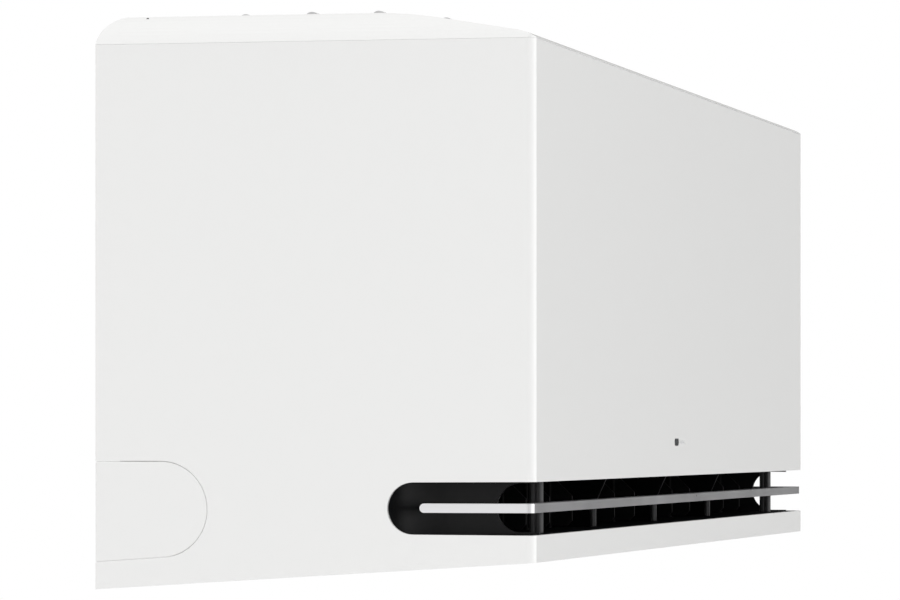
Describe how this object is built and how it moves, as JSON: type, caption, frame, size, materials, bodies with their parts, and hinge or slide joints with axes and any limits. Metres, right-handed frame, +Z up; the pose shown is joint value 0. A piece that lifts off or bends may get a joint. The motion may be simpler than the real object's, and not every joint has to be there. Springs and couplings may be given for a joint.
{
  "type": "wall-mounted split air conditioner indoor unit",
  "caption": "White wall-hung air conditioner indoor unit with a long air slot wrapping round both sides, a silver louvre in the slot and air filters in the top.",
  "frame": {"origin": "centre of the wall plate's four corner screws, on the wall's face", "axes": "+X to the right as seen from the room, +Y into the wall, +Z up"},
  "size_m": [0.89, 0.235, 0.3023],
  "materials": {
    "white_shell": "fine satin moulded white",
    "filter_plastic": "matt moulded frame with fine mesh",
    "black_liner": "semi-gloss black",
    "silver_louvre": "satin silver coating",
    "smoked_lens": "polished",
    "light_pipe": "frosted",
    "off_white_plastic": "matt moulded",
    "fan_plastic": "glass-filled matt",
    "steel": "zinc plated",
    "galvanised_steel": "galvanised spangle",
    "motor_casing": "moulded",
    "bearing_bronze": "machined",
    "rubber": "matt",
    "fin_aluminium": "pressed fins",
    "copper": "drawn copper tube",
    "circuit_board": "solder mask",
    "board_black": "moulded"
  },
  "bodies": {
    "casing": {"front_casing": "white_shell", "top_cover": "white_shell", "receiver_window": "smoked_lens", "status_lights": "light_pipe", "louvre_motor": "steel", "outlet_frame": "black_liner", "duct_cheeks": "black_liner", "duct_ribs": "black_liner", "swing_motors": "steel", "rear_chassis": "off_white_plastic", "fan_scroll": "off_white_plastic", "drain_tray": "off_white_plastic", "drain_pipe": "off_white_plastic", "drain_plug": "rubber", "fan_bearing": "bearing_bronze", "bearing_mount": "rubber", "fan_motor": "motor_casing", "motor_clamp": "steel", "coil_front_lower": "fin_aluminium", "coil_front_upper": "fin_aluminium", "coil_rear": "fin_aluminium", "coil_end_plates": "galvanised_steel", "return_bends": "copper", "liquid_pipe": "copper", "gas_pipe": "copper", "flare_unions": "bearing_bronze", "control_box": "off_white_plastic", "control_box_cover": "galvanised_steel", "main_board": "circuit_board", "board_parts": "board_black", "terminal_block": "off_white_plastic", "display_board": "circuit_board", "coil_sensor": "copper", "button_switch": "board_black", "wall_plate": "galvanised_steel", "chassis_clips": "galvanised_steel", "casing_screws": "steel"},
    "fan": {"crossflow_fan": "fan_plastic", "fan_shaft": "steel"},
    "louvre": {"wrap_louvre": "silver_louvre", "louvre_pins": "silver_louvre"},
    "blade_left_1": {"swing_blade_left_1": "black_liner"},
    "blade_left_2": {"swing_blade_left_2": "black_liner"},
    "blade_left_3": {"swing_blade_left_3": "black_liner"},
    "blade_left_4": {"swing_blade_left_4": "black_liner"},
    "blade_left_5": {"swing_blade_left_5": "black_liner"},
    "blade_left_6": {"swing_blade_left_6": "black_liner"},
    "link_left": {"link_bar_left": "black_liner"},
    "filter_left": {"air_filter_left": "filter_plastic"},
    "port_cover_left": {"pipe_cover_left": "white_shell"},
    "blade_right_1": {"swing_blade_right_1": "black_liner"},
    "blade_right_2": {"swing_blade_right_2": "black_liner"},
    "blade_right_3": {"swing_blade_right_3": "black_liner"},
    "blade_right_4": {"swing_blade_right_4": "black_liner"},
    "blade_right_5": {"swing_blade_right_5": "black_liner"},
    "blade_right_6": {"swing_blade_right_6": "black_liner"},
    "link_right": {"link_bar_right": "black_liner"},
    "filter_right": {"air_filter_right": "filter_plastic"},
    "port_cover_right": {"pipe_cover_right": "white_shell"},
    "button": {"manual_button": "white_shell"}
  },
  "joints": [
    {"name": "fan_spin", "type": "hinge", "parent": "casing", "child": "fan", "pos_m": [0, -0.105, -0.04], "axis": [1, 0, 0], "continuous": true},
    {"name": "louvre_tilt", "type": "hinge", "parent": "casing", "child": "louvre", "pos_m": [0, -0.178, -0.1072], "axis": [1, 0, 0], "range_deg": [-9, 9]},
    {"name": "swing_left_1", "type": "hinge", "parent": "casing", "child": "blade_left_1", "pos_m": [-0.0312, -0.196, -0.1072], "axis": [0, 0, 1], "range_deg": [-30, 30]},
    {"name": "swing_left_2", "type": "hinge", "parent": "casing", "child": "blade_left_2", "pos_m": [-0.0936, -0.196, -0.1072], "axis": [0, 0, 1], "range_deg": [-30, 30]},
    {"name": "swing_left_3", "type": "hinge", "parent": "casing", "child": "blade_left_3", "pos_m": [-0.156, -0.196, -0.1072], "axis": [0, 0, 1], "range_deg": [-30, 30]},
    {"name": "swing_left_4", "type": "hinge", "parent": "casing", "child": "blade_left_4", "pos_m": [-0.2184, -0.196, -0.1072], "axis": [0, 0, 1], "range_deg": [-30, 30]},
    {"name": "swing_left_5", "type": "hinge", "parent": "casing", "child": "blade_left_5", "pos_m": [-0.2808, -0.196, -0.1072], "axis": [0, 0, 1], "range_deg": [-30, 30]},
    {"name": "swing_left_6", "type": "hinge", "parent": "casing", "child": "blade_left_6", "pos_m": [-0.3432, -0.196, -0.1072], "axis": [0, 0, 1], "range_deg": [-30, 30]},
    {"name": "link_left_hinge", "type": "hinge", "parent": "blade_left_1", "child": "link_left", "pos_m": [-0.0312, -0.178, -0.1072], "axis": [0, 0, 1], "range_deg": [-30, 30]},
    {"name": "swing_right_1", "type": "hinge", "parent": "casing", "child": "blade_right_1", "pos_m": [0.0312, -0.196, -0.1072], "axis": [0, 0, 1], "range_deg": [-30, 30]},
    {"name": "swing_right_2", "type": "hinge", "parent": "casing", "child": "blade_right_2", "pos_m": [0.0936, -0.196, -0.1072], "axis": [0, 0, 1], "range_deg": [-30, 30]},
    {"name": "swing_right_3", "type": "hinge", "parent": "casing", "child": "blade_right_3", "pos_m": [0.156, -0.196, -0.1072], "axis": [0, 0, 1], "range_deg": [-30, 30]},
    {"name": "swing_right_4", "type": "hinge", "parent": "casing", "child": "blade_right_4", "pos_m": [0.2184, -0.196, -0.1072], "axis": [0, 0, 1], "range_deg": [-30, 30]},
    {"name": "swing_right_5", "type": "hinge", "parent": "casing", "child": "blade_right_5", "pos_m": [0.2808, -0.196, -0.1072], "axis": [0, 0, 1], "range_deg": [-30, 30]},
    {"name": "swing_right_6", "type": "hinge", "parent": "casing", "child": "blade_right_6", "pos_m": [0.3432, -0.196, -0.1072], "axis": [0, 0, 1], "range_deg": [-30, 30]},
    {"name": "link_right_hinge", "type": "hinge", "parent": "blade_right_1", "child": "link_right", "pos_m": [0.0312, -0.178, -0.1072], "axis": [0, 0, 1], "range_deg": [-30, 30]},
    {"name": "filter_left_lift", "type": "slide", "parent": "casing", "child": "filter_left", "axis": [0, 0, 1], "range_m": [0, 0.08]},
    {"name": "filter_right_lift", "type": "slide", "parent": "casing", "child": "filter_right", "axis": [0, 0, 1], "range_m": [0, 0.08]},
    {"name": "port_cover_left_pull", "type": "slide", "parent": "casing", "child": "port_cover_left", "axis": [-1, 0, 0], "range_m": [0, 0.03]},
    {"name": "port_cover_right_pull", "type": "slide", "parent": "casing", "child": "port_cover_right", "axis": [1, 0, 0], "range_m": [0, 0.03]},
    {"name": "button_press", "type": "slide", "parent": "casing", "child": "button", "axis": [0, 0, 1], "range_m": [0, 0.0012], "stiffness_N_per_m": 600, "springref_m": -0.001}
  ],
  "couplings": [
    {"joint": "swing_left_2", "follows": "swing_left_1", "ratio": 1},
    {"joint": "swing_left_3", "follows": "swing_left_1", "ratio": 1},
    {"joint": "swing_left_4", "follows": "swing_left_1", "ratio": 1},
    {"joint": "swing_left_5", "follows": "swing_left_1", "ratio": 1},
    {"joint": "swing_left_6", "follows": "swing_left_1", "ratio": 1},
    {"joint": "link_left_hinge", "follows": "swing_left_1", "ratio": -1},
    {"joint": "swing_right_2", "follows": "swing_right_1", "ratio": 1},
    {"joint": "swing_right_3", "follows": "swing_right_1", "ratio": 1},
    {"joint": "swing_right_4", "follows": "swing_right_1", "ratio": 1},
    {"joint": "swing_right_5", "follows": "swing_right_1", "ratio": 1},
    {"joint": "swing_right_6", "follows": "swing_right_1", "ratio": 1},
    {"joint": "link_right_hinge", "follows": "swing_right_1", "ratio": -1}
  ]
}
